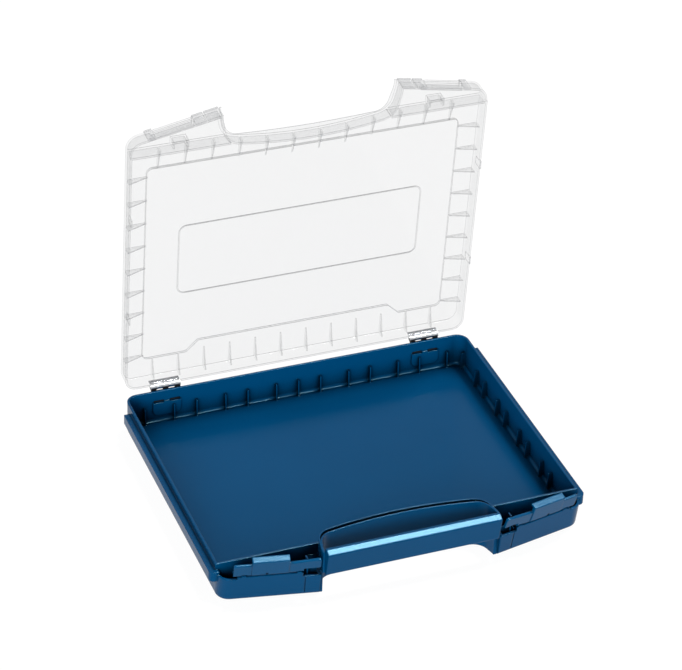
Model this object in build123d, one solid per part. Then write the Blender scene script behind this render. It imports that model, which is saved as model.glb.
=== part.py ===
from build123d import *
import math
import os

# Shallow tray case with a hinged clear lid, two front latches and a carry grip.
# Frame: X runs along the hinge, -Y is the front with the grip, +Z is up, and the
# origin lies on the underside below the middle of the tray. Millimetres.
# The tray and latches are drawn where they lie at rest. The lid and its hinge
# leaves are drawn shut and then swung to their rest angle about the hinge axis.

# Case envelope
case_width = 367.0            # over the runner rails
case_height = 53.0            # shut, underside to lid top
tray_height = 36.0            # underside to tray rim
rear_face = 143.0             # outer face of the rear wall, from the origin
sill_face = 127.5             # inner face of the front inner wall, from the origin
corner_radius = 12.0          # rear corners in plan
front_corner_radius = 13.0    # front corners in plan

# Slanted front, which bulges towards the middle and leans out as it rises
front_reach = 15.3            # from the bar's back to where the front faces would meet
front_angle = 11.3            # of each front face in plan, degrees
front_lean = 10.5             # of each front face from upright, degrees

# Mouldings
tray_wall = 2.2
tray_floor = 2.5
foot_radius = 4.0             # round the underside
floor_radius = 2.8            # between the floor and the walls inside
seam = 0.3                    # between the tray rim and the shut lid
lid_wall = 2.0
lid_edge_radius = 1.6

# Runner rails
rail_reach = 6.5              # of each rail beside the tray
rail_top = 30.0
rail_depth = 10.0
rail_wall = 2.2
rail_rear_inset = 20.5        # from the rear face
rail_front_reach = 6.5        # in front of the front inner wall
rail_nose_radius = 5.5

# Locating ribs for inserts
cell_pitch = 52.5
cell_front_offset = 17.5      # first cell boundary in front of the origin
rib_half_gap_x = 14.8         # ribs each side of a cell's middle, along X
rib_half_gap_y = 10.0         # ribs each side of a cell boundary, along Y
rib_rear_inset = 11.0         # of the rearmost side ribs, from the rear face
rib_front_inset = 15.0        # of the foremost side ribs, from the front inner wall
first_cell_share = 0.72       # of the cell pitch, from the middle plane to the first cell
rib_thickness = 1.3
rib_height = 17.6
rib_foot = 5.0
rib_head = 4.0

# Grip opening and its bar
grip_half_width = 84.0        # half the clear length between the grip arms
grip_shoulder = 79.0          # where the bowed wall behind the fingers would meet the arms
grip_bow_radius = 400.0       # of the wall behind the fingers, in plan
grip_radius = 14.0            # between that wall and the arms
grip_wall = 6.0
grip_wall_top = 49.0
grip_rim = 1.2                # of each lip beside the channel in the grip wall's top
grip_channel_depth = 9.0
arm_wall = 2.2
arm_bend = 4.0                # where the arms straighten, behind the bar
arm_reach = 2.0               # of the arms past the bar's back
arm_bottom = 26.0
finger_room = 30.5            # from the front inner wall to the bar
bar_top = 52.5
bar_bottom = 24.5
bar_depth = 9.6
bar_bevel_drop = 2.6
bar_bevel_run = 5.6
bar_wall = 2.3

# Latch pockets in the front
block_margin = 3.4            # from the grip opening to each front block
pocket_margin = 5.8           # from the grip opening to each latch pocket
front_wall = 2.5
front_wall_top = 29.3
scoop_top = 24.5
scoop_width = 16.5            # finger scoop under the latch's inner end
scoop_back_gap = 3.3          # from the front apex to the wall behind the scoop
scoop_back_wall = 1.2
scoop_back_rise = 4.0
post_offset = 14.7            # of the post in each latch pocket, from the grip opening
post_width = 1.4
post_depth = 5.2
post_reach = 0.6              # of the post's front past the front apex
post_bottom = 12.0
post_top = 41.0
corner_top = 27.0
corner_inset = 15.0           # outside this, at the corner, the front wall is lower
groove_offset = 18.0          # outwards from the grip opening
groove_width = 1.0
groove_depth = 0.6

# Latches
latch_margin = 5.0            # from the grip opening to each latch
latch_end_inset = 11.0        # from the side face
latch_thickness = 2.4
latch_axis_rise = 3.2         # of the latch's axis over the front wall's top
latch_barrel_radius = 2.6
latch_shoulder_inner = 48.0
latch_shoulder_middle = 45.3
latch_shoulder_outer = 46.6
latch_scoop_bottom = 35.6
tab_inner_share = 0.364       # of the latch's length, to the tab
tab_outer_share = 0.792
panel_proud = 1.0             # of the latch's middle panel
tab_top = 52.2
tab_thickness = 2.2
tab_reach = 5.6
latch_ajar = 8.0              # the latch stands this far open at rest, degrees
lug_inner_inset = 3.6         # of the inner lug's middle, from the scoop
lug_outer_inset = 9.5         # of the outer lug's middle, from the latch's end
lug_width = 4.5
lug_mouth = 2.3               # of the lug's open front, below the axis
lug_root = 3.0                # of each lug below the front wall's top
dimple_offset = 9.0           # outwards from the latch's middle
dimple_size = 2.2
dimple_depth = 0.8
panel_edge_radius = 0.5
knuckle_gap = 0.3
latch_pin_radius = 1.0
latch_pin_inset = 0.6         # of the pin's ends, inside the barrel's
running_fit = 0.05            # radial, between a pin and what turns on it

# Lid
lid_inset = 1.5               # of the lid's side walls from the tray's
lid_skirt_reach = 3.7         # of the lid skirts in front of the front apex
lid_skirt_rise = 2.0          # of the skirts' lower edge over the tray rim
lid_corner_radius = 14.0
recess_setback = 2.0          # of the lid plate behind the grip opening
recess_bow_radius = 1100.0    # of the lid plate's edge, in plan
recess_shoulder = 77.5        # where that edge would meet the sides of the recess
wing_gap = 0.8                # between the bar's ends and the lid plate
recess_clearance = 0.7        # between the grip wall and the lid wall inside it
rim_clearance = 6.0           # of the lid's low rim from the grip arms
rim_break = 20.0              # behind the front inner wall, where the low rim stops
keeper_margin = 4.0           # of the latch landing past the tab's inner edge
keeper_gap = 1.0              # and past its outer edge
keeper_drop = 3.8             # of the latch landing below the lid top
keeper_depth = 6.5            # of the latch landing behind the skirt
lip_reach = 1.7
lip_height = 2.7
pad_reach = 0.6
pad_joint = 1.5
pad_inner_length = 13.5
pad_middle_length = 10.0
pad_outer_length = 7.0
gusset_thickness = 1.0
gusset_height = 8.0
gusset_long = 24.0            # at the hinge and front walls
gusset_short = 22.0           # at the side walls
gusset_rear_place = 114.5     # rearmost side gusset
plate_step = 0.9              # of the panel in the lid plate
panel_margin = 21.0           # side walls to panel
panel_rear = 120.0
panel_rear_middle = 108.0
panel_rear_half = 98.0
panel_front = 104.0
frame_margin = 53.5           # from the side faces to the bare rounded field on the lid
frame_depth_y = 80.0
frame_place_y = 6.5
frame_radius = 8.0
frame_line = 1.0
frame_relief = 0.4
nub_length = 8.0
nub_height = 7.0
nub_reach = 1.4
nub_places = (-58.0, 56.0)
stop_offset = 5.0             # of each stop in the lid's wings from the latch landing
stop_width = 15.0
stop_depth = 7.0
stop_bottom = 41.0
stop_wall = 1.5

# Hinges
hinge_inset = 42.5            # from the side face to a hinge's middle
hinge_width = 30.0
hinge_stand_off = 3.3         # of the axis behind the rear face
hinge_axis_rise = 2.5         # of the axis over the tray rim
hinge_knuckle_radius = 2.8
hinge_pin_radius = 1.2
hinge_knuckles = 5
leaf_thickness = 1.4
tray_leaf_drop = 17.5         # of each tray leaf's lower edge below the axis
lid_leaf_rise = 6.5           # of each lid leaf's upper edge over the axis
prong_spacing = 16.4
prong_width = 9.0
prong_drop = 14.0             # of the prongs below the axis
slot_clearance = 0.7
prong_stop = 0.4              # of the prongs inside the wall's inner face
boss_depth = 1.2
boss_width = 28.5
boss_bottom = 9.0
boss_radius = 6.0
lid_open = 85.0               # rest angle of the lid from shut, degrees

# Worked-out values
half_body = case_width / 2 - rail_reach
half_lid = half_body - lid_inset
rail_rear = rear_face - rail_rear_inset
rail_front = -sill_face - rail_front_reach
bar_back = sill_face + finger_room
bar_nose = bar_back + bar_depth
front_apex = bar_back + front_reach
lid_skirt_apex = front_apex + lid_skirt_reach
arm_outer = grip_half_width + arm_wall
arm_straight = bar_back - arm_bend
block_side = grip_half_width + block_margin
pocket_inner = grip_half_width + pocket_margin
scoop_outer = block_side + scoop_width
corner_step = half_body - corner_inset
lean_slope = math.tan(math.radians(front_lean)) / math.cos(math.radians(front_angle))
plan_slope = math.tan(math.radians(front_angle))
plan_cos = math.cos(math.radians(front_angle))
latch_inner = grip_half_width + latch_margin
latch_outer = half_body - latch_end_inset
latch_middle = (latch_inner + latch_outer) / 2
tab_inner = latch_inner + tab_inner_share * (latch_outer - latch_inner)
tab_outer = latch_inner + tab_outer_share * (latch_outer - latch_inner)
lug_inner = scoop_outer + lug_inner_inset
lug_outer = latch_outer - lug_outer_inset
keeper_inner = tab_inner - keeper_margin
keeper_outer = tab_outer + keeper_gap
lid_plate_bottom = case_height - lid_wall
lid_rim = tray_height + seam
landing_top = case_height - keeper_drop
keeper_back_apex = lid_skirt_apex - keeper_depth
lid_skirt_bottom = tray_height + lid_skirt_rise
latch_axis_height = front_wall_top + latch_axis_rise
hinge_axis_z = tray_height + hinge_axis_rise
prong_height = hinge_axis_z - prong_drop
hinge_place = half_body - hinge_inset
hinge_axis_y = rear_face + hinge_stand_off
knuckle_pitch = hinge_width / hinge_knuckles
tall = 2 * case_height


def apex_y(apex, x):
    """Y of a slanted front line at distance x from the middle plane."""
    return -(apex - plan_slope * x)


def front_y(x, z):
    """Y of the leaning front face at distance x and height z."""
    return apex_y(front_apex + lean_slope * z, x)


def prism(sketch, bottom, top):
    """A sketch extruded between two heights."""
    return Pos(0, 0, bottom) * extrude(sketch, top - bottom)


def both(half):
    """A right half with its mirror image."""
    return half + mirror(half, Plane.YZ)


def block(x0, x1, y0, y1, z0, z1):
    """A box between two corners."""
    solid = Box(x1 - x0, y1 - y0, z1 - z0)
    return Pos((x0 + x1) / 2, (y0 + y1) / 2, (z0 + z1) / 2) * solid


def round_foot(solid, radius):
    """A solid with its lowest edges rounded."""
    return fillet(solid.edges().group_by(Axis.Z)[0], radius)


def slanted(x0, x1, apex0, apex1, z0, z1):
    """A strip along the right front face between two apex distances."""
    points = [(x0, apex_y(apex0, x0)), (x1, apex_y(apex0, x1)),
              (x1, apex_y(apex1, x1)), (x0, apex_y(apex1, x0))]
    return prism(make_face(Polyline(*points, close=True)), z0, z1)


def rounded_at(face, points, radii):
    """A face rounded at the given corners, each by its own radius or left sharp at 0."""
    for point, radius in zip(points, radii):
        if radius:
            corner = face.vertices().sort_by_distance(Vector(*point))[0]
            face = fillet(corner, radius)
    return face


def rounded(points, radii):
    """A face with straight sides between corners rounded by their own radii."""
    return rounded_at(make_face(Polyline(*points, close=True)), points, radii)


def bow_y(crown, radius, x):
    """Y of a bowed line at distance x from the middle plane."""
    return -crown - radius + math.sqrt(radius ** 2 - x ** 2)


def bowed_outline(crown, bow, shoulder, side, corner):
    """A grip outline: a bowed back, rounded shoulders and sides that open to the front."""
    back = bow_y(crown, bow, shoulder)
    reach = 2 * front_apex
    arc = ThreePointArc((-shoulder, back), (0, -crown), (shoulder, back))
    bends = [(-side, -arm_straight), (side, -arm_straight)]
    rest = Polyline((shoulder, back), bends[1], (side, -reach), (-side, -reach), bends[0],
                    (-shoulder, back))
    face = make_face(arc.edges() + rest.edges())
    corners = [(-shoulder, back), (shoulder, back)] + bends
    return rounded_at(face, corners, [corner, corner, 2 * corner, 2 * corner])


def grip_opening_outline(setback=0.0):
    """Plan of the grip opening, drawn out all round by a setback."""
    return bowed_outline(sill_face - setback, grip_bow_radius + setback,
                         grip_shoulder + setback, grip_half_width + setback,
                         grip_radius + setback)


def grip_wall_outline(setback=0.0):
    """Plan of the wall behind the fingers and its arms, drawn out by a setback."""
    side = arm_wall + setback
    return bowed_outline(sill_face - grip_wall - setback, grip_bow_radius + setback,
                         grip_shoulder + side, grip_half_width + side, grip_radius + side)


def front_outline(inset):
    """Plan of the front blocks at the underside, drawn in by an inset."""
    side = half_body - inset
    apex = front_apex - inset / plan_cos
    points = [(-side, 0), (-side, apex_y(apex, side)), (0, -apex),
              (side, apex_y(apex, side)), (side, 0)]
    radius = front_corner_radius - inset
    return rounded(points, [0, radius, 0, radius, 0])


def leaning(sketch, height):
    """A plan extruded upwards and outwards along the leaning front."""
    run = height * lean_slope
    return extrude(sketch, math.hypot(run, height), dir=(0, -run, height))


def rear_body(inset, bottom, top):
    """The straight-walled rear body, drawn in by an inset."""
    side = half_body - inset
    front = -sill_face - tray_wall + inset
    points = [(-side, front), (side, front),
              (side, rear_face - inset), (-side, rear_face - inset)]
    radius = corner_radius - inset
    return prism(rounded(points, [0, 0, radius, radius]), bottom, top)


def latch_pocket():
    """Both latch pockets, open at the top, with leaning fronts."""
    cavity = Pos(0, 0, tray_floor) * leaning(
        Pos(0, -tray_floor * lean_slope) * front_outline(front_wall), case_height)
    reach = front_apex + case_height
    window = block(pocket_inner, half_body, -reach, -sill_face - tray_wall, tray_floor, tall)
    return both(cavity & window)


def pocket_fittings():
    """The walls round the right finger scoop and the post that stands in it."""
    back = front_apex - scoop_back_gap
    wall = slanted(pocket_inner - 1, scoop_outer, back - scoop_back_wall, back, tray_floor,
                   scoop_top + scoop_back_rise)
    cheek = slanted(scoop_outer - scoop_back_wall, scoop_outer, back, front_apex, tray_floor,
                    scoop_top)
    x = grip_half_width + post_offset
    y = apex_y(front_apex + post_reach, x)
    post = block(x - post_width / 2, x + post_width / 2, y, y + post_depth,
                 post_bottom, post_top)
    return wall + cheek + post


def front_rim_trim():
    """What is taken off above the front wall's top edge."""
    reach = front_apex + case_height
    back = -sill_face - tray_wall
    full = block(0, case_width, -reach, back, front_wall_top, tall)
    scoop = block(0, scoop_outer, -reach, back, scoop_top, tall)
    corner = block(corner_step, case_width, -reach, back, corner_top, tall)
    return both(full + scoop + corner)


def rail():
    """One runner rail: a top flange with an outer lip."""
    outer = case_width / 2
    points = [(half_body - tray_wall, rail_rear), (half_body - tray_wall, rail_front),
              (outer, rail_front), (outer, rail_rear)]
    plan = rounded(points, [0, 0, rail_nose_radius, 0])
    solid = prism(plan, rail_top - rail_depth, rail_top)
    hollow = block(half_body, outer - rail_wall, rail_front + rail_wall, rail_rear - rail_wall,
                   0, rail_top - rail_wall)
    return solid - hollow


def rib(x, y, turn):
    """A locating rib standing on the floor against a wall, facing -Y before turning."""
    points = [(0, 0), (-rib_foot, 0), (-rib_head, rib_height), (0, rib_height)]
    side = make_face(Polyline(*points, close=True))
    fin = Rot(Z=90) * Rot(X=90) * Pos(0, 0, -rib_thickness / 2) * extrude(side, rib_thickness)
    return Pos(x, y, tray_floor) * Rot(Z=turn) * fin


def rib_places_x():
    """X of the ribs right of the middle plane."""
    places = []
    cell = cell_pitch * first_cell_share
    while cell + rib_half_gap_x < half_body - tray_wall:
        places += [cell - rib_half_gap_x, cell + rib_half_gap_x]
        cell += cell_pitch
    return places


def rib_places_y():
    """Y of the ribs along a side wall."""
    places = [rear_face - rib_rear_inset, -sill_face + rib_front_inset]
    boundary = -cell_front_offset - cell_pitch
    while boundary + rib_half_gap_y < rear_face - cell_pitch / 2:
        places += [boundary - rib_half_gap_y, boundary + rib_half_gap_y]
        boundary += cell_pitch
    return places


def tray_ribs():
    """All locating ribs inside the tray."""
    rear = rear_face - tray_wall
    side = half_body - tray_wall
    crown = sill_face - grip_wall
    fins = [rib(0, rear, 0), rib(0, -crown, 180)]
    for x in rib_places_x():
        in_grip = x < grip_shoulder - grip_radius
        front = bow_y(crown, grip_bow_radius, x) if in_grip else -sill_face
        fins += [rib(x, rear, 0), rib(-x, rear, 0)]
        if in_grip or x > arm_outer + rib_thickness:
            fins += [rib(x, front, 180), rib(-x, front, 180)]
    for y in rib_places_y():
        fins += [rib(side, y, -90), rib(-side, y, 90)]
    return fins


def hinge_slots(side):
    """Slots through the rear wall for one hinge's prongs."""
    cuts = []
    for offset in (-prong_spacing / 2, prong_spacing / 2):
        x = side * hinge_place + offset
        half = prong_width / 2 + slot_clearance
        rise = leaf_thickness / 2 + slot_clearance
        cuts.append(block(x - half, x + half, rear_face - tray_wall - boss_depth - 1,
                          rear_face + 1, prong_height - rise, prong_height + rise))
    return cuts


def hinge_boss(side):
    """The stiffening boss inside the rear wall under one hinge's slots."""
    half = boss_width / 2
    points = [(-half, prong_height), (half, prong_height), (half, boss_bottom),
              (-half, boss_bottom)]
    plate = extrude(rounded(points, [0, 0, boss_radius, boss_radius]), boss_depth)
    return Pos(side * hinge_place, rear_face - tray_wall, 0) * Rot(X=90) * plate


def latch_plane(side):
    """Frame on a latch's axis: x along the front, y inwards, z up the leaning face."""
    turn = math.radians(front_angle)
    lean = math.radians(front_lean)
    along = Vector(math.cos(turn), side * math.sin(turn), 0)
    outward = Vector(side * math.sin(turn), -math.cos(turn), 0)
    up = outward * math.sin(lean) + Vector(0, 0, math.cos(lean))
    inward = up.cross(along)
    face = Vector(side * latch_middle, front_y(latch_middle, latch_axis_height),
                  latch_axis_height)
    centre = face + inward * latch_barrel_radius
    return Plane(origin=centre, x_dir=along, z_dir=up)


def along_latch(side, x):
    """Local x on a latch for a distance from the middle plane."""
    return side * (x - latch_middle) / plan_cos


def up_latch(z):
    """Local height on a latch for a height above the underside."""
    return (z - latch_axis_height) / math.cos(math.radians(front_lean))


def rod(x0, x1, radius):
    """A round bar along the local X axis."""
    length = abs(x1 - x0)
    return Pos((x0 + x1) / 2, 0, 0) * Rot(Y=90) * Cylinder(radius, length)


def latch_lug(side, x):
    """A lug on the front wall's top edge that cradles a latch pin from behind."""
    middle = along_latch(side, x)
    ends = (middle - lug_width / 2, middle + lug_width / 2)
    reach = latch_barrel_radius
    post = block(*ends, -reach, reach, up_latch(front_wall_top) - lug_root, 0)
    mouth = block(ends[0] - 1, ends[1] + 1, -reach - 1, latch_thickness - reach + knuckle_gap,
                  -lug_mouth, reach + 1)
    bore = rod(ends[0] - 1, ends[1] + 1, latch_pin_radius)
    return latch_plane(side).location * (rod(*ends, reach) + post - mouth - bore)


def tray_shell():
    """The tray moulding."""
    shell = round_foot(rear_body(0, 0, tray_height), foot_radius)
    shell += round_foot(leaning(front_outline(0), tray_height), foot_radius)
    shell -= latch_pocket()
    shell -= round_foot(rear_body(tray_wall, tray_floor, tall), floor_radius)
    shell -= front_rim_trim()
    shell += prism(grip_wall_outline(), 0, grip_wall_top)
    shell -= prism(grip_opening_outline(), -1, tall)
    channel = grip_wall_outline(-grip_rim) - grip_opening_outline(grip_rim)
    shell -= prism(channel, grip_wall_top - grip_channel_depth, tall)
    reach = 2 * front_apex
    shell -= block(-block_side, block_side, -reach, -arm_straight, -1, arm_bottom)
    shell -= block(-block_side, block_side, -reach, -bar_back - arm_reach, -1, tall)
    shell += both(rail()) + both(pocket_fittings())
    shell += tray_ribs()
    for side in (-1, 1):
        shell += hinge_boss(side)
        shell -= hinge_slots(side)
        shell += [latch_lug(side, lug_inner), latch_lug(side, lug_outer)]
    return shell - both(front_groove())


def front_groove():
    """The shallow upright groove in the right front block."""
    plane = latch_plane(1)
    x = along_latch(1, grip_half_width + groove_offset)
    cut = block(x - groove_width / 2, x + groove_width / 2, -latch_barrel_radius - 1,
                -latch_barrel_radius + groove_depth, up_latch(foot_radius),
                up_latch(scoop_top - 1))
    return plane.location * cut


def grip_bar():
    """The bar that the hand closes on, cored out from below."""
    drop = (bar_top - bar_bevel_drop - bar_bottom) * lean_slope
    points = [(-bar_back, bar_bottom), (-bar_nose + drop, bar_bottom),
              (-bar_nose, bar_top - bar_bevel_drop), (-bar_nose + bar_bevel_run, bar_top),
              (-bar_back, bar_top)]
    outer = rounded(points, [0.6, 1.8, 0.8, 0.8, 2.0])
    inner = [(-bar_back - bar_wall, bar_bottom - 1),
             (-bar_nose + drop + bar_wall, bar_bottom - 1),
             (-bar_nose + drop / 2 + bar_wall, bar_top - bar_bevel_drop - 2 * bar_wall),
             (-bar_back - bar_wall, bar_top - bar_bevel_drop - 2 * bar_wall)]
    core = make_face(Polyline(*inner, close=True))
    length = 2 * grip_half_width
    turned = Rot(Z=90) * Rot(X=90)
    solid = Pos(-length / 2, 0, 0) * turned * extrude(outer, length)
    hollow = Pos(-length / 2 + bar_wall, 0, 0) * turned * extrude(core, length - 2 * bar_wall)
    return solid - hollow


def latch(side):
    """A latch with its hook tab, in its own frame and fully shut."""
    corners = [(latch_outer, latch_axis_height), (latch_outer, latch_shoulder_outer),
               (tab_outer, latch_shoulder_outer), (tab_outer, tab_top),
               (tab_inner, tab_top), (tab_inner, latch_shoulder_middle),
               (latch_inner, latch_shoulder_inner), (latch_inner, latch_scoop_bottom),
               (scoop_outer, latch_scoop_bottom), (scoop_outer, latch_axis_height)]
    points = [(along_latch(side, x), up_latch(z)) for x, z in corners]
    face = rounded(points, [0.3, 2.0, 0.4, 0.4, 0.4, 0.4, 2.0, 1.0, 1.0, 0.3])
    back = latch_thickness - latch_barrel_radius
    plate = Pos(0, back, 0) * Rot(X=90) * extrude(face, latch_thickness)
    ends = (along_latch(side, scoop_outer), along_latch(side, latch_outer))
    tab_ends = sorted((along_latch(side, tab_inner), along_latch(side, tab_outer)))
    tab = block(*tab_ends, -latch_barrel_radius, tab_reach - latch_barrel_radius,
                up_latch(tab_top) - tab_thickness, up_latch(tab_top))
    panel = block(*tab_ends, -latch_barrel_radius - panel_proud, back, 0, up_latch(tab_top))
    panel = fillet(panel.edges().group_by(Axis.Y)[0], panel_edge_radius)
    body = plate + rod(*ends, latch_barrel_radius) + tab + panel
    for x in (lug_inner, lug_outer):
        middle = along_latch(side, x)
        half = lug_width / 2 + knuckle_gap
        reach = latch_barrel_radius + knuckle_gap
        body -= block(middle - half, middle + half, -2 * reach, 2 * reach, -2 * reach, 0)
        body -= block(middle - half, middle + half, back, 2 * reach, -reach, reach)
    dimple = block(*dimple_ends(side), -latch_barrel_radius - panel_proud - 1,
                   dimple_depth - latch_barrel_radius - panel_proud, 0.6, 0.6 + dimple_size)
    return body - dimple - rod(*ends, latch_pin_radius + running_fit)


def dimple_ends(side):
    """Local X ends of the small dimple in a latch's face."""
    middle = along_latch(side, latch_middle + dimple_offset)
    return (middle - dimple_size / 2, middle + dimple_size / 2)


def latch_pin(side):
    """The pin that a latch turns on, in the latch's frame."""
    ends = (along_latch(side, scoop_outer + latch_pin_inset),
            along_latch(side, latch_outer - latch_pin_inset))
    return rod(*ends, latch_pin_radius)


def lid_outline(recess):
    """Plan of the lid with a recess taken out of its front."""
    skirt = apex_y(lid_skirt_apex, half_lid)
    points = [(half_lid, rear_face), (-half_lid, rear_face), (-half_lid, skirt),
              (0, -lid_skirt_apex), (half_lid, skirt)]
    radii = [corner_radius, corner_radius, lid_corner_radius, 0, lid_corner_radius]
    return rounded(points, radii) - recess


def lid_plate_outline():
    """Plan of the lid plate, whose recess clears the hand and the bar."""
    recess = bowed_outline(sill_face - recess_setback, recess_bow_radius, recess_shoulder,
                           grip_half_width + wing_gap, grip_radius)
    return lid_outline(recess)


def lid_walls():
    """The lid's rim, skirts, inner front walls and the wall inside the grip recess."""
    recess = grip_wall_outline(recess_clearance)
    plan = lid_outline(recess)
    ring = plan - offset(plan, -lid_wall)
    walls = prism(ring, lid_skirt_bottom, lid_plate_bottom)
    sill = -sill_face - lid_wall
    behind = Pos(0, sill + case_width) * Rectangle(2 * case_width, 2 * case_width)
    clear = Rectangle(2 * (arm_outer + rim_clearance), 2 * case_width)
    rim = (ring & behind) - (Pos(0, sill - case_width + rim_break) * clear)
    walls += prism(rim, lid_rim, lid_skirt_bottom)
    inner = block(grip_shoulder, half_lid - lid_wall / 2, sill, -sill_face,
                  lid_rim, lid_plate_bottom)
    return walls + both(inner - prism(recess, 0, tall))


def wing_stop():
    """The open box that stiffens the right wing of the lid in front of its inner wall."""
    x0 = keeper_inner + stop_offset
    x1 = x0 + stop_width
    y0 = -sill_face - lid_wall - stop_depth
    outer = block(x0, x1, y0, -sill_face - lid_wall / 2, stop_bottom, lid_plate_bottom)
    inner = block(x0 + stop_wall, x1 - stop_wall, y0 + stop_wall, -sill_face,
                  stop_bottom - 1, lid_plate_bottom)
    return outer - inner


def keeper():
    """The right latch landing with its step and the lip that the hook catches."""
    low = landing_top - lid_wall
    tray = slanted(keeper_inner, keeper_outer, keeper_back_apex, lid_skirt_apex, low, landing_top)
    step = slanted(keeper_inner - lid_wall, keeper_outer + lid_wall,
                   keeper_back_apex - lid_wall, keeper_back_apex, low, lid_plate_bottom)
    ends = [slanted(x, x + lid_wall, keeper_back_apex, lid_skirt_apex, low, lid_plate_bottom)
            for x in (keeper_inner - lid_wall, keeper_outer)]
    lip = slanted(keeper_inner, keeper_outer, lid_skirt_apex, lid_skirt_apex + lip_reach,
                  landing_top - lip_height, landing_top)
    return tray + step + ends + lip


def skirt_pads():
    """Raised pads on the right skirt, each side of the latch landing."""
    first = keeper_inner - pad_middle_length
    spans = [(first - pad_joint - pad_inner_length, first - pad_joint), (first, keeper_inner),
             (keeper_outer, keeper_outer + pad_outer_length)]
    return [slanted(x0, x1, lid_skirt_apex - lid_wall / 2, lid_skirt_apex + pad_reach,
                    lid_skirt_bottom, case_height) for x0, x1 in spans]


def gusset(x, y, turn, length):
    """A gusset between the lid plate and a wall, facing -Y before turning."""
    top = lid_plate_bottom
    points = [(0, top), (-length, top), (-length, top - 0.6), (0, top - gusset_height)]
    side = make_face(Polyline(*points, close=True))
    fin = Rot(Z=90) * Rot(X=90) * Pos(0, 0, -gusset_thickness / 2) * extrude(side, gusset_thickness)
    return Pos(x, y, 0) * Rot(Z=turn) * fin


def lid_gussets():
    """All gussets inside the lid, at half the cell pitch."""
    pitch = cell_pitch / 2
    rear = rear_face - lid_wall / 2
    sill = -sill_face - lid_wall / 2
    crown = sill_face - grip_wall - recess_clearance - lid_wall / 2
    fins = []
    for index in range(6):
        x = pitch * (index + 0.5)
        front = bow_y(crown, grip_bow_radius, x) if x < grip_shoulder else sill
        for place in (-x, x):
            fins += [gusset(place, rear, 0, gusset_long), gusset(place, front, 180, gusset_long)]
    wall = half_lid - lid_wall / 2
    for index in range(9):
        y = gusset_rear_place - pitch * index
        fins += [gusset(wall, y, -90, gusset_short), gusset(-wall, y, 90, gusset_short)]
    return fins


def lid_panel():
    """The main field of the lid plate, which is set a little lower than its border."""
    side = half_lid - panel_margin
    rise = panel_rear - panel_rear_middle
    points = [(-side, -panel_front), (side, -panel_front), (side, panel_rear),
              (panel_rear_half + rise, panel_rear), (panel_rear_half, panel_rear_middle),
              (-panel_rear_half, panel_rear_middle), (-panel_rear_half - rise, panel_rear),
              (-side, panel_rear)]
    return rounded(points, [6, 6, 6, 3, 3, 3, 3, 6])


def lid_frame():
    """The fine raised line round the bare field on the lid."""
    length = 2 * (half_lid - frame_margin)
    outer = RectangleRounded(length, frame_depth_y, frame_radius)
    inner = RectangleRounded(length - 2 * frame_line, frame_depth_y - 2 * frame_line,
                             frame_radius - frame_line)
    top = lid_plate_bottom - plate_step
    return Pos(0, frame_place_y) * prism(outer - inner, top - frame_relief, top)


def lid_nubs():
    """Nubs inside the side walls that centre the lid on the tray."""
    inner = half_body - tray_wall
    nubs = []
    for y in nub_places:
        bottom = lid_rim - nub_height / 2
        nub = block(inner - nub_reach - seam, half_lid - lid_wall / 2, y - nub_length / 2,
                    y + nub_length / 2, lid_rim, lid_rim + nub_height)
        tongue = block(inner - nub_reach - seam, inner - seam, y - nub_length / 2,
                       y + nub_length / 2, bottom, lid_rim + nub_height)
        nubs += [both(nub + tongue)]
    return nubs


def lid_shell():
    """The clear lid moulding, drawn shut."""
    plate = prism(lid_plate_outline(), lid_plate_bottom, case_height)
    plate = fillet(plate.edges().group_by(Axis.Z)[-1], lid_edge_radius)
    lid = plate + lid_walls() + both(Part() + skirt_pads())
    lid -= both(slanted(keeper_inner, keeper_outer, keeper_back_apex,
                        lid_skirt_apex + case_height, landing_top, tall))
    lid += both(keeper()) + both(wing_stop())
    lid += lid_gussets() + lid_nubs()
    panel = lid_panel()
    lid += prism(panel, lid_plate_bottom - plate_step, lid_plate_bottom)
    lid -= prism(panel, case_height - plate_step, tall)
    return lid + lid_frame()


def knuckle_ends(index):
    """X ends of a hinge knuckle, counted from the left."""
    start = -hinge_width / 2 + index * knuckle_pitch
    return (start + knuckle_gap / 2, start + knuckle_pitch - knuckle_gap / 2)


def knuckle(index, flip, bore):
    """A knuckle on the hinge axis with the arm to its leaf, in the hinge's frame."""
    ends = knuckle_ends(index)
    face = rear_face - hinge_axis_y
    radius = hinge_knuckle_radius
    points = [(face, -flip * 5.6), (face, -flip * radius),
              (face + 2.2, -flip * (radius - 0.4)), (-radius / 2, 0), (0, 0),
              (0, -flip * radius)]
    arm = make_face(Polyline(*points, close=True))
    turned = Pos(ends[0], 0, 0) * Rot(Z=90) * Rot(X=90)
    solid = turned * extrude(arm, ends[1] - ends[0]) + rod(*ends, radius)
    return solid - rod(ends[0] - 1, ends[1] + 1, bore)


def hinge_frame(side):
    """Location of a hinge's middle on its axis."""
    return Pos(side * hinge_place, hinge_axis_y, hinge_axis_z)


def tray_leaf(side):
    """The hinge leaf that clips through the rear wall, with every other knuckle."""
    face = rear_face - hinge_axis_y
    half = hinge_width / 2
    leaf = block(-half, half, face, face + leaf_thickness, -tray_leaf_drop,
                 -hinge_knuckle_radius)
    inner = face - tray_wall + prong_stop
    for x in (-prong_spacing / 2, prong_spacing / 2):
        ends = (x - prong_width / 2, x + prong_width / 2)
        leaf += block(*ends, inner, face, -prong_drop - leaf_thickness / 2,
                      -prong_drop + leaf_thickness / 2)
    for index in range(0, hinge_knuckles, 2):
        leaf += knuckle(index, 1, hinge_pin_radius)
    return hinge_frame(side) * leaf


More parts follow.
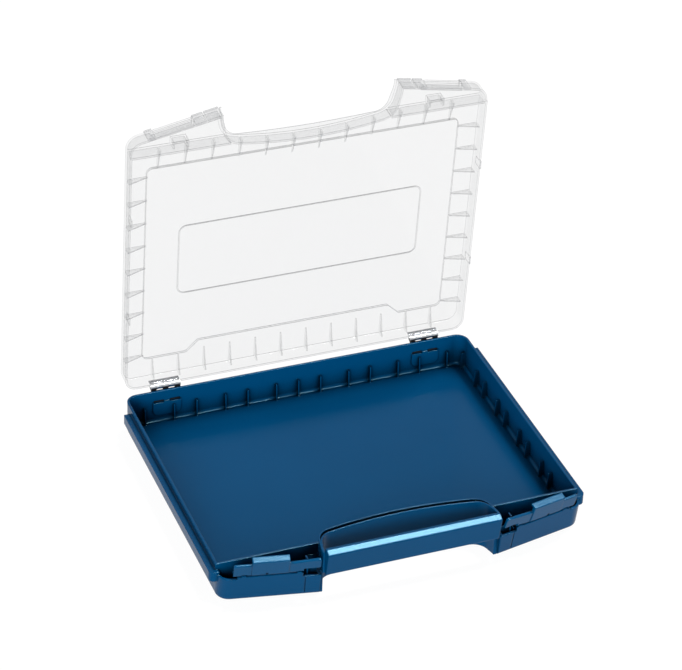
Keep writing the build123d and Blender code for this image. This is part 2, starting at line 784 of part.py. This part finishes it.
def lid_leaf(side):
    """The hinge leaf on the lid's rear wall, with the knuckles between, drawn shut."""
    face = rear_face - hinge_axis_y
    half = hinge_width / 2
    leaf = block(-half, half, face, face + leaf_thickness, hinge_knuckle_radius,
                 lid_leaf_rise)
    for index in range(1, hinge_knuckles, 2):
        leaf += knuckle(index, -1, hinge_pin_radius + running_fit)
    return hinge_frame(side) * leaf


def hinge_pin(side):
    """The pin through one hinge's knuckles."""
    return hinge_frame(side) * rod(-hinge_width / 2, hinge_width / 2, hinge_pin_radius)


def swung_open(shape):
    """A shut lid piece swung to its rest angle about the hinge axis."""
    centre = Pos(0, hinge_axis_y, hinge_axis_z)
    return centre * Rot(X=-lid_open) * centre.inverse() * shape


def build_parts():
    """Every node of the case, by name."""
    parts = {"tray_shell": tray_shell(), "grip_bar": grip_bar(),
             "lid_shell": swung_open(lid_shell())}
    for side, name in ((-1, "left"), (1, "right")):
        place = latch_plane(side).location
        parts[f"latch_{name}"] = place * Rot(X=latch_ajar) * latch(side)
        parts[f"latch_pin_{name}"] = place * latch_pin(side)
        parts[f"hinge_tray_leaf_{name}"] = tray_leaf(side)
        parts[f"hinge_lid_leaf_{name}"] = swung_open(lid_leaf(side))
        parts[f"hinge_pin_{name}"] = hinge_pin(side)
    return parts


os.makedirs("parts", exist_ok=True)
for node, shape in build_parts().items():
    export_step(shape, f"parts/{node}.step")
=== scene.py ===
import math

import bpy
from mathutils import Matrix, Vector

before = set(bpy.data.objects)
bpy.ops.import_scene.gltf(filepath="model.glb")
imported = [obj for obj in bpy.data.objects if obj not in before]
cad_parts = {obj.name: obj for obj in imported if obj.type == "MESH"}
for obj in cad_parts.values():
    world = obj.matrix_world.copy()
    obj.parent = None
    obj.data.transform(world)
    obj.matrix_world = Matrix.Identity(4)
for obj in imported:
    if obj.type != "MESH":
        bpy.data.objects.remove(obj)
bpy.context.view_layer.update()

bl_info = {
    "name": "Clear-Lidded Tray Case",
    "version": (1, 0, 0),
    "blender": (4, 5, 0),
    "location": "View3D > Sidebar > Tray Case",
    "description": "Finishes a shallow tray case with a clear hinged lid and sets its studio",
    "category": "Object",
}

SENSOR_WIDTH = 36.0
FRAME_WIDTH = 682.0

# The lid is measured as if shut: its hinge line, its swing to rest and its two skirts.
HINGE_Y = 0.1463
HINGE_Z = 0.0385
LID_OPEN = math.radians(85.0)
SKIRT_APEX = 0.177
SKIRT_SLOPE = math.tan(math.radians(11.3))
EDGE_LINE = 0.00065

# The frosted pads: their spans each side of the middle, their depth and soft outline.
PAD_SPANS = ((0.0880, 0.1015), (0.1030, 0.1130), (0.1510, 0.1580))
PAD_DEPTH = 0.003
PAD_OUTLINE = 0.0006

# Painted shade: hollows deeper than this reach are darkened in the colour, towards a share of
# the plastic's own colour.
PAINTED_SHADE_REACH = 0.03
PAINTED_SHADE_SHARE = 0.08
MOTTLE = 0.08

# Painted shade: the tray leaves and pins are dark below the hinge line, standing in for shade,
# and bright steel just above it.
SHADE_LINE_RISE = 0.0004
SHADE_LINE_FADE = 0.0008

# Sides that the lamps shine from, and the floor.
TOP_SIDE = (0.31, 0.07, 0.95)
FRONT_SIDE = (-0.45, -0.84, 0.3)
FLOOR_HALF = 6.0
FLOOR_DROP = 0.0002

TRAY_NODES = ("tray_shell", "grip_bar")
LATCH_NODES = ("latch_left", "latch_right")
BRIGHT_NODES = ("hinge_lid_leaf_left", "hinge_lid_leaf_right", "latch_pin_left",
                "latch_pin_right")
DARK_NODES = ("hinge_tray_leaf_left", "hinge_tray_leaf_right", "hinge_pin_left",
              "hinge_pin_right")


class Socket:
    """A shader value that Python arithmetic can be written on."""

    def __init__(self, graph, output):
        self.graph = graph
        self.output = output

    def _math(self, operation, *terms):
        return self.graph.node("ShaderNodeMath", {"operation": operation},
                               dict(enumerate(terms)))

    def __add__(self, other):
        return self._math("ADD", self, other)

    __radd__ = __add__

    def __mul__(self, other):
        return self._math("MULTIPLY", self, other)

    __rmul__ = __mul__

    def __sub__(self, other):
        return self._math("SUBTRACT", self, other)

    def __rsub__(self, other):
        return self._math("SUBTRACT", other, self)

    def __pow__(self, other):
        return self._math("POWER", self, other)

    def __or__(self, other):
        return self._math("MAXIMUM", self, other)

    def __abs__(self):
        return self._math("ABSOLUTE", self)

    def above(self, level, width):
        """Rises from 0 to 1 across a width round a level."""
        return self.graph.node("ShaderNodeMapRange", {"interpolation_type": "SMOOTHSTEP"},
                               {"Value": self, "From Min": level - width / 2,
                                "From Max": level + width / 2})

    def between(self, low, high, width):
        """1 between two levels and 0 outside them, softened by a width."""
        return self.above(low, width) * (1.0 - self.above(high, width))


class Graph:
    """A node tree being built, node by node."""

    def __init__(self, owner):
        owner.use_nodes = True
        self.owner = owner
        self.tree = owner.node_tree
        self.tree.nodes.clear()

    def node(self, kind, settings=None, inputs=None, output=0):
        """Adds a node: its settings first, then the values or links of its sockets."""
        made = self.tree.nodes.new(kind)
        for key, value in (settings or {}).items():
            setattr(made, key, value)
        for key, value in (inputs or {}).items():
            self.feed(made.inputs[key], value)
        return Socket(self, made.outputs[output] if made.outputs else None)

    def feed(self, socket, value):
        if isinstance(value, Socket):
            self.tree.links.new(value.output, socket)
        else:
            socket.default_value = value

    def finish(self, surface):
        """Joins a surface to the output and hands back the material or world."""
        kind = "World" if isinstance(self.owner, bpy.types.World) else "Material"
        self.node("ShaderNodeOutput" + kind, None, {"Surface": surface})
        return self.owner

    def place(self):
        """Position on the part in its own metres."""
        return self.node("ShaderNodeTexCoord", output="Object")

    def vector(self, operation, first, second, output=0):
        return self.node("ShaderNodeVectorMath", {"operation": operation},
                         {0: first, 1: second}, output)

    def noise(self, scale, detail=2.0, vector=None):
        return self.node("ShaderNodeTexNoise", None,
                         {"Vector": vector or self.place(), "Scale": scale, "Detail": detail})

    def mix(self, factor, first, second):
        """Blends two colours."""
        return self.node("ShaderNodeMix", {"data_type": "RGBA"},
                         {0: factor, 6: first, 7: second}, output=2)

    def facing(self, blend):
        """0 where a face is seen square on and 1 where it is seen edge on."""
        return self.node("ShaderNodeLayerWeight", None, {"Blend": blend}, output="Facing")

    def rounded_edges(self, radius):
        """Normals that soften every sharp edge by a small radius."""
        return self.node("ShaderNodeBevel", {"samples": 8}, {"Radius": radius})

    def edge_lines(self, softened):
        """0 on a plain face, rising towards 1 where softened edges turn its normal."""
        flat = self.node("ShaderNodeNewGeometry", output="Normal")
        turned = self.vector("DOT_PRODUCT", softened, flat, output="Value")
        return (1.0 - turned).above(0.045, 0.07)

    def bump(self, height, distance, strength, normal=None):
        inputs = {"Height": height, "Distance": distance, "Strength": strength}
        if normal is not None:
            inputs["Normal"] = normal
        return self.node("ShaderNodeBump", None, inputs)

    def principled(self, values):
        return self.node("ShaderNodeBsdfPrincipled", None, values)

    def crevice(self, reach):
        """1 where a face lies open and less where the part closes round it."""
        return self.node("ShaderNodeAmbientOcclusion", {"samples": 8, "only_local": True},
                         {"Distance": reach}, output="AO")

    def ray(self, kind):
        """1 on rays of a kind."""
        return self.node("ShaderNodeLightPath", output=f"Is {kind} Ray")

    def seen_directly(self):
        """1 for what the eye, gloss and glass see, and 0 for light that spreads."""
        return self.ray("Camera") | self.ray("Glossy") | self.ray("Transmission")


def new_material(name):
    """A graph for a fresh material."""
    return Graph(bpy.data.materials.new(name))


def shade(colour, share):
    """A colour made darker or lighter by a share."""
    return tuple(share * c for c in colour[:3]) + (1.0,)


def moulded_plastic(name, colour, sheen, sheen_tint, roughness, grain, edge_radius):
    """Satin moulded plastic with softened edges, and shade painted darker where it closes on
    itself.
    """
    graph = new_material(name)
    tone = graph.noise(9.0, 3.0)
    dark, light, painted_shade = [shade(colour, share)
                         for share in (1.0 - MOTTLE, 1.0 + MOTTLE, PAINTED_SHADE_SHARE)]
    fine = graph.noise(2600.0, 1.0)
    # Painted shade: the colour darkens towards a share of itself where the part closes round a
    # face.
    unshaded_face = graph.crevice(PAINTED_SHADE_REACH).above(0.6, 0.65)
    return graph.finish(graph.principled({
        "Base Color": graph.mix(unshaded_face, painted_shade, graph.mix(tone, dark, light)),
        "Roughness": roughness + 0.06 * (tone - 0.5) + 0.04 * (fine - 0.5),
        "Specular IOR Level": sheen,
        "Specular Tint": sheen_tint,
        "Normal": graph.bump(fine, grain, 0.5, graph.rounded_edges(edge_radius))}))


def shut_place(graph):
    """Position on the lid as if it were shut, as X, Y and Z sockets in metres."""
    arm = graph.vector("SUBTRACT", graph.place(), (0.0, HINGE_Y, HINGE_Z))
    cos, sin = math.cos(LID_OPEN), math.sin(LID_OPEN)
    axes = ((1.0, 0.0, 0.0), (0.0, cos, -sin), (0.0, sin, cos))
    x, y, z = [graph.vector("DOT_PRODUCT", arm, axis, output="Value") for axis in axes]
    return x, y + HINGE_Y, z + HINGE_Z


def clear_plastic(name, tint, opacity, rim_opacity, line_opacity, frost):
    """Clear plastic with shade painted dark along its edges, fainter on its sides, and frosted
    pads on its skirts.
    """
    graph = new_material(name)
    x, y, z = shut_place(graph)
    ahead = SKIRT_SLOPE * abs(x) - y
    pads = None
    for low, high in PAD_SPANS:
        pad = abs(x).between(low, high, PAD_OUTLINE)
        pads = pad if pads is None else pads | pad
    cloudy = ahead.above(SKIRT_APEX - PAD_DEPTH, PAD_OUTLINE) * pads
    waves = graph.noise(14.0, 2.0)
    softened = graph.rounded_edges(EDGE_LINE)
    sideways = abs(graph.vector("DOT_PRODUCT", softened, (1.0, 0.0, 0.0), output="Value"))
    # Painted shade: sharp edges get a darker, less clear colour, fainter where they face
    # sideways.
    lines = graph.edge_lines(softened) * (1.0 - 0.75 * sideways)
    rim = graph.facing(0.5) ** 3.0
    cover = opacity + (rim_opacity - opacity) * rim + line_opacity * lines
    return graph.finish(graph.principled({
        "Base Color": graph.mix(lines, tint, shade(tint, 0.2)), "Roughness": 0.06 + 0.4 * cloudy,
        "IOR": 1.5, "Alpha": cover | frost * cloudy,
        "Normal": graph.bump(waves, 0.0004, 0.3)}))


def plated_steel(name, colour, roughness):
    """Plated steel with fine rolling lines."""
    graph = new_material(name)
    along = graph.vector("MULTIPLY", graph.place(), (60.0, 2500.0, 2500.0))
    lines = graph.noise(1.0, 3.0, along)
    return graph.finish(graph.principled({
        "Base Color": colour, "Metallic": 1.0,
        "Roughness": roughness + 0.15 * (lines - 0.5),
        "Normal": graph.bump(lines, 0.00003, 0.4, graph.rounded_edges(0.0002))}))


def shade_dark_steel(name, colour, bright, roughness):
    """Steel with a thin oily sheen, painted dark as shade below the hinge line and bright above
    it.
    """
    graph = new_material(name)
    blotches = graph.noise(900.0, 3.0)
    height = graph.vector("DOT_PRODUCT", graph.place(), (0.0, 0.0, 1.0), output="Value")
    # Painted shade: below the hinge line the colour stays dark, and above it the colour turns to
    # bright metal.
    above_painted_shade = height.above(HINGE_Z + SHADE_LINE_RISE, SHADE_LINE_FADE)
    return graph.finish(graph.principled({
        "Base Color": graph.mix(above_painted_shade, graph.mix(blotches, colour, shade(colour, 2.0)), bright),
        "Metallic": above_painted_shade,
        "Roughness": roughness + 0.2 * (blotches - 0.5),
        "Normal": graph.bump(blotches, 0.00003, 0.4, graph.rounded_edges(0.0002))}))


def dress(nodes, material):
    """Gives carried-over parts their finish."""
    for name in nodes:
        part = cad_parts[name]
        part.data.materials.clear()
        part.data.materials.append(material)


class TrayFinish(bpy.types.PropertyGroup):
    """Colours and grain of the tray, grip and latches."""
    colour: bpy.props.FloatVectorProperty(
        name="Tray Colour", description="Colour of the tray moulding", subtype="COLOR",
        size=4, min=0.0, max=1.0, default=(0.0, 0.06, 0.165, 1.0))
    latch_colour: bpy.props.FloatVectorProperty(
        name="Latch Colour", description="Colour of the latches", subtype="COLOR",
        size=4, min=0.0, max=1.0, default=(0.0, 0.07, 0.185, 1.0))
    sheen: bpy.props.FloatProperty(
        name="Sheen Level", description="Strength of the moulded face's gloss", min=0.0,
        max=1.0, default=0.1, subtype="FACTOR")
    sheen_tint: bpy.props.FloatVectorProperty(
        name="Sheen Tint", description="Tint of the moulded face's gloss", subtype="COLOR",
        size=4, min=0.0, max=1.0, default=(0.36, 0.8, 1.0, 1.0))
    roughness: bpy.props.FloatProperty(
        name="Sheen Roughness", description="Roughness of the moulded face", min=0.0, max=1.0,
        default=0.2, subtype="FACTOR")
    grain: bpy.props.FloatProperty(
        name="Grain Depth", description="Depth of the eroded mould grain", default=0.00002,
        min=0.0, unit="LENGTH")
    edge: bpy.props.FloatProperty(
        name="Edge Radius", description="Softening of moulded edges", default=0.0015,
        min=0.0, unit="LENGTH")


class LidFinish(bpy.types.PropertyGroup):
    """Tint and clearness of the lid."""
    tint: bpy.props.FloatVectorProperty(
        name="Lid Tint", description="Tint of the clear plastic", subtype="COLOR",
        size=4, min=0.0, max=1.0, default=(0.32, 0.325, 0.335, 1.0))
    opacity: bpy.props.FloatProperty(
        name="Face Opacity", description="How much the lid hides, seen face on", min=0.0,
        max=1.0, default=0.09, subtype="FACTOR")
    rim_opacity: bpy.props.FloatProperty(
        name="Rim Opacity", description="How much the lid hides, seen edge on", min=0.0,
        max=1.0, default=0.27, subtype="FACTOR")
    line_opacity: bpy.props.FloatProperty(
        name="Line Opacity", description="How much the lid's sharp edges hide", min=0.0,
        max=1.0, default=0.75, subtype="FACTOR")
    frost: bpy.props.FloatProperty(
        name="Pad Frosting", description="How much the lid's frosted pads hide", min=0.0,
        max=1.0, default=0.27, subtype="FACTOR")


class HardwareFinish(bpy.types.PropertyGroup):
    """Finish of the hinges and pins."""
    colour: bpy.props.FloatVectorProperty(
        name="Steel Colour", description="Colour of the bright steel", subtype="COLOR",
        size=4, min=0.0, max=1.0, default=(0.55, 0.56, 0.58, 1.0))
    roughness: bpy.props.FloatProperty(
        name="Steel Roughness", description="Roughness of the bright steel", min=0.0, max=1.0,
        default=0.16, subtype="FACTOR")
    # Painted shade: this dark colour stands in for shade below the hinge line.
    dark_colour: bpy.props.FloatVectorProperty(
        name="Shade Colour", description="Colour painted on the steel as shade", subtype="COLOR",
        size=4, min=0.0, max=1.0, default=(0.008, 0.008, 0.009, 1.0))


class StudioSettings(bpy.types.PropertyGroup):
    """Place of the camera and level of the lamps."""
    camera_place: bpy.props.FloatVectorProperty(
        name="Camera Place", description="Where the camera stands", size=3, unit="LENGTH",
        default=(-0.858325, -2.096376, 1.682458))
    camera_turn: bpy.props.FloatProperty(
        name="Camera Turn", description="Angle of the camera round the case", subtype="ANGLE",
        default=math.radians(-21.9697))
    camera_rise: bpy.props.FloatProperty(
        name="Camera Rise", description="Angle of the camera above the case", subtype="ANGLE",
        default=math.radians(33.882))
    camera_roll: bpy.props.FloatProperty(
        name="Camera Roll", description="Roll of the camera about its line of sight",
        subtype="ANGLE", default=math.radians(2.111))
    focal_pixels: bpy.props.FloatProperty(
        name="Focal Length", description="Focal length in widths of a picture point",
        default=2973.04, min=1.0)
    top_lamp: bpy.props.FloatProperty(
        name="Top Lamp", description="Strength of the lamp overhead", default=1.65, min=0.0)
    gloss_lamp: bpy.props.FloatProperty(
        name="Gloss Lamp", description="Strength of the overhead lamp that only gloss shows",
        default=11.0, min=0.0)
    front_lamp: bpy.props.FloatProperty(
        name="Front Lamp", description="Strength of the lamp ahead and to the left",
        default=2.7, min=0.0)
    sky: bpy.props.FloatProperty(
        name="Sky Level", description="Strength of the light from all round", default=0.35,
        min=0.0)
    floor_colour: bpy.props.FloatVectorProperty(
        name="Floor Colour", description="Colour of the light that the floor throws back",
        subtype="COLOR", size=4, min=0.0, max=1.0, default=(0.35, 0.35, 0.35, 1.0))
    shadow_colour: bpy.props.FloatVectorProperty(
        name="Shadow Depth", description="Part of the floor's white that shadows take away",
        subtype="COLOR", size=4, min=0.0, max=1.0, default=(0.08, 0.08, 0.08, 1.0))
    floor_glow: bpy.props.FloatProperty(
        name="Floor White", description="How much the eye sees the floor glow by itself",
        default=0.945, min=0.0)


class CASE_OT_finish_tray(bpy.types.Operator):
    """Finishes the tray moulding and its grip"""
    bl_idname = "traycase.finish_tray"
    bl_label = "Finish Tray"

    def execute(self, context):
        finish = context.scene.tray_finish
        dress(TRAY_NODES, moulded_plastic("tray_blue", tuple(finish.colour),
                                          finish.sheen, tuple(finish.sheen_tint),
                                          finish.roughness,
                                          finish.grain, finish.edge))
        return {"FINISHED"}


class CASE_OT_finish_latches(bpy.types.Operator):
    """Finishes the two hook latches"""
    bl_idname = "traycase.finish_latches"
    bl_label = "Finish Latches"

    def execute(self, context):
        finish = context.scene.tray_finish
        dress(LATCH_NODES, moulded_plastic("latch_blue", tuple(finish.latch_colour),
                                           finish.sheen, tuple(finish.sheen_tint),
                                           finish.roughness - 0.04,
                                           finish.grain / 2, finish.edge))
        return {"FINISHED"}


class CASE_OT_finish_lid(bpy.types.Operator):
    """Finishes the clear lid"""
    bl_idname = "traycase.finish_lid"
    bl_label = "Finish Lid"

    def execute(self, context):
        finish = context.scene.lid_finish
        dress(("lid_shell",), clear_plastic("lid_clear", tuple(finish.tint), finish.opacity,
                                            finish.rim_opacity, finish.line_opacity,
                                            finish.frost))
        return {"FINISHED"}


class CASE_OT_finish_hinges(bpy.types.Operator):
    """Finishes the hinge leaves and all the pins"""
    bl_idname = "traycase.finish_hinges"
    bl_label = "Finish Hinges"

    def execute(self, context):
        finish = context.scene.hardware_finish
        dress(BRIGHT_NODES, plated_steel("plated_steel", tuple(finish.colour),
                                         finish.roughness))
        dress(DARK_NODES, shade_dark_steel("shade_dark_steel", tuple(finish.dark_colour),
                                          tuple(finish.colour), finish.roughness))
        return {"FINISHED"}


def camera_matrix(studio):
    """The camera's place and its axes, from its turn, rise and roll."""
    turn, rise, roll = studio.camera_turn, studio.camera_rise, studio.camera_roll
    back = Vector((math.sin(turn) * math.cos(rise), -math.cos(turn) * math.cos(rise),
                   math.sin(rise)))
    right = Vector((math.cos(turn), math.sin(turn), 0.0))
    up = back.cross(right)
    rolled_right = math.cos(roll) * right + math.sin(roll) * up
    rolled_up = math.cos(roll) * up - math.sin(roll) * right
    axes = Matrix((rolled_right, rolled_up, back)).transposed().to_4x4()
    return Matrix.Translation(Vector(studio.camera_place)) @ axes


def add_lamp(name, strength, spread, source, spreads=True):
    """A far lamp that shines from a direction, and if it spreads lights faces as well."""
    data = bpy.data.lights.new(name, "SUN")
    data.energy = strength
    data.angle = spread
    lamp = bpy.data.objects.new(name, data)
    lamp.rotation_euler = Vector(source).to_track_quat("Z", "Y").to_euler()
    lamp.visible_diffuse = spreads
    bpy.context.scene.collection.objects.link(lamp)


class CASE_OT_set_stage(bpy.types.Operator):
    """Adds the floor, the white surround, the lamps and the camera"""
    bl_idname = "traycase.set_stage"
    bl_label = "Set Stage"

    def execute(self, context):
        studio = context.scene.studio_settings
        self.add_surround(context, studio)
        self.add_floor(context, studio)
        add_lamp("top_lamp", studio.top_lamp, math.radians(8.0), TOP_SIDE)
        add_lamp("gloss_lamp", studio.gloss_lamp, math.radians(24.0), TOP_SIDE,
                 spreads=False)
        add_lamp("front_lamp", studio.front_lamp, math.radians(30.0), FRONT_SIDE)
        data = bpy.data.cameras.new("studio_camera")
        data.sensor_width = SENSOR_WIDTH
        data.lens = studio.focal_pixels * SENSOR_WIDTH / FRAME_WIDTH
        camera = bpy.data.objects.new("studio_camera", data)
        camera.matrix_world = camera_matrix(studio)
        context.scene.collection.objects.link(camera)
        context.scene.camera = camera
        context.scene.view_settings.view_transform = "Standard"
        return {"FINISHED"}

    def add_surround(self, context, studio):
        graph = Graph(bpy.data.worlds.new("studio_world"))
        soft = graph.node("ShaderNodeBackground", None,
                          {"Color": (0.95, 0.98, 1.0, 1.0), "Strength": studio.sky})
        white = graph.node("ShaderNodeBackground", None,
                           {"Color": (1.0, 1.0, 1.0, 1.0), "Strength": 1.0})
        context.scene.world = graph.finish(graph.node(
            "ShaderNodeMixShader", None, {0: graph.seen_directly(), 1: soft, 2: white}))

    def add_floor(self, context, studio):
        mesh = bpy.data.meshes.new("studio_floor")
        corners = [(x * FLOOR_HALF, y * FLOOR_HALF, 0.0)
                   for x, y in ((-1, -1), (1, -1), (1, 1), (-1, 1))]
        mesh.from_pydata(corners, [], [(0, 1, 2, 3)])
        floor = bpy.data.objects.new("studio_floor", mesh)
        floor.location.z = -FLOOR_DROP
        context.scene.collection.objects.link(floor)
        graph = new_material("studio_floor")
        matte = graph.node("ShaderNodeBsdfDiffuse", None,
                           {"Color": tuple(studio.floor_colour)})
        glow = graph.node("ShaderNodeEmission", None, {"Strength": studio.floor_glow})
        faint = graph.node("ShaderNodeBsdfDiffuse", None,
                           {"Color": tuple(studio.shadow_colour)})
        shown = graph.node("ShaderNodeAddShader", None, {0: faint, 1: glow})
        mesh.materials.append(graph.finish(graph.node(
            "ShaderNodeMixShader", None,
            {0: graph.seen_directly(), 1: matte, 2: shown})))


class CASE_PT_panel(bpy.types.Panel):
    """Lists the case's finishes and the steps that apply them"""
    bl_idname = "CASE_PT_panel"
    bl_label = "Tray Case"
    bl_space_type = "VIEW_3D"
    bl_region_type = "UI"
    bl_category = "Tray Case"

    def draw(self, context):
        for settings in GROUPS:
            box = self.layout.box()
            group = getattr(context.scene, settings)
            for name in type(group).__annotations__:
                box.prop(group, name)
        for operator in OPERATORS:
            self.layout.operator(operator.bl_idname)


GROUPS = {
    "tray_finish": TrayFinish,
    "lid_finish": LidFinish,
    "hardware_finish": HardwareFinish,
    "studio_settings": StudioSettings,
}
OPERATORS = (CASE_OT_finish_tray, CASE_OT_finish_latches, CASE_OT_finish_lid,
             CASE_OT_finish_hinges, CASE_OT_set_stage)


def register():
    """Adds the settings, the operators and the panel."""
    for group in GROUPS.values():
        bpy.utils.register_class(group)
    for name, group in GROUPS.items():
        setattr(bpy.types.Scene, name, bpy.props.PointerProperty(type=group))
    for cls in OPERATORS + (CASE_PT_panel,):
        bpy.utils.register_class(cls)


def unregister():
    """Takes them away again."""
    for cls in reversed(OPERATORS + (CASE_PT_panel,)):
        bpy.utils.unregister_class(cls)
    for name, group in GROUPS.items():
        delattr(bpy.types.Scene, name)
        bpy.utils.unregister_class(group)


def main():
    """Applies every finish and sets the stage."""
    register()
    bpy.ops.traycase.finish_tray()
    bpy.ops.traycase.finish_latches()
    bpy.ops.traycase.finish_lid()
    bpy.ops.traycase.finish_hinges()
    bpy.ops.traycase.set_stage()


if __name__ == "__main__":
    main()
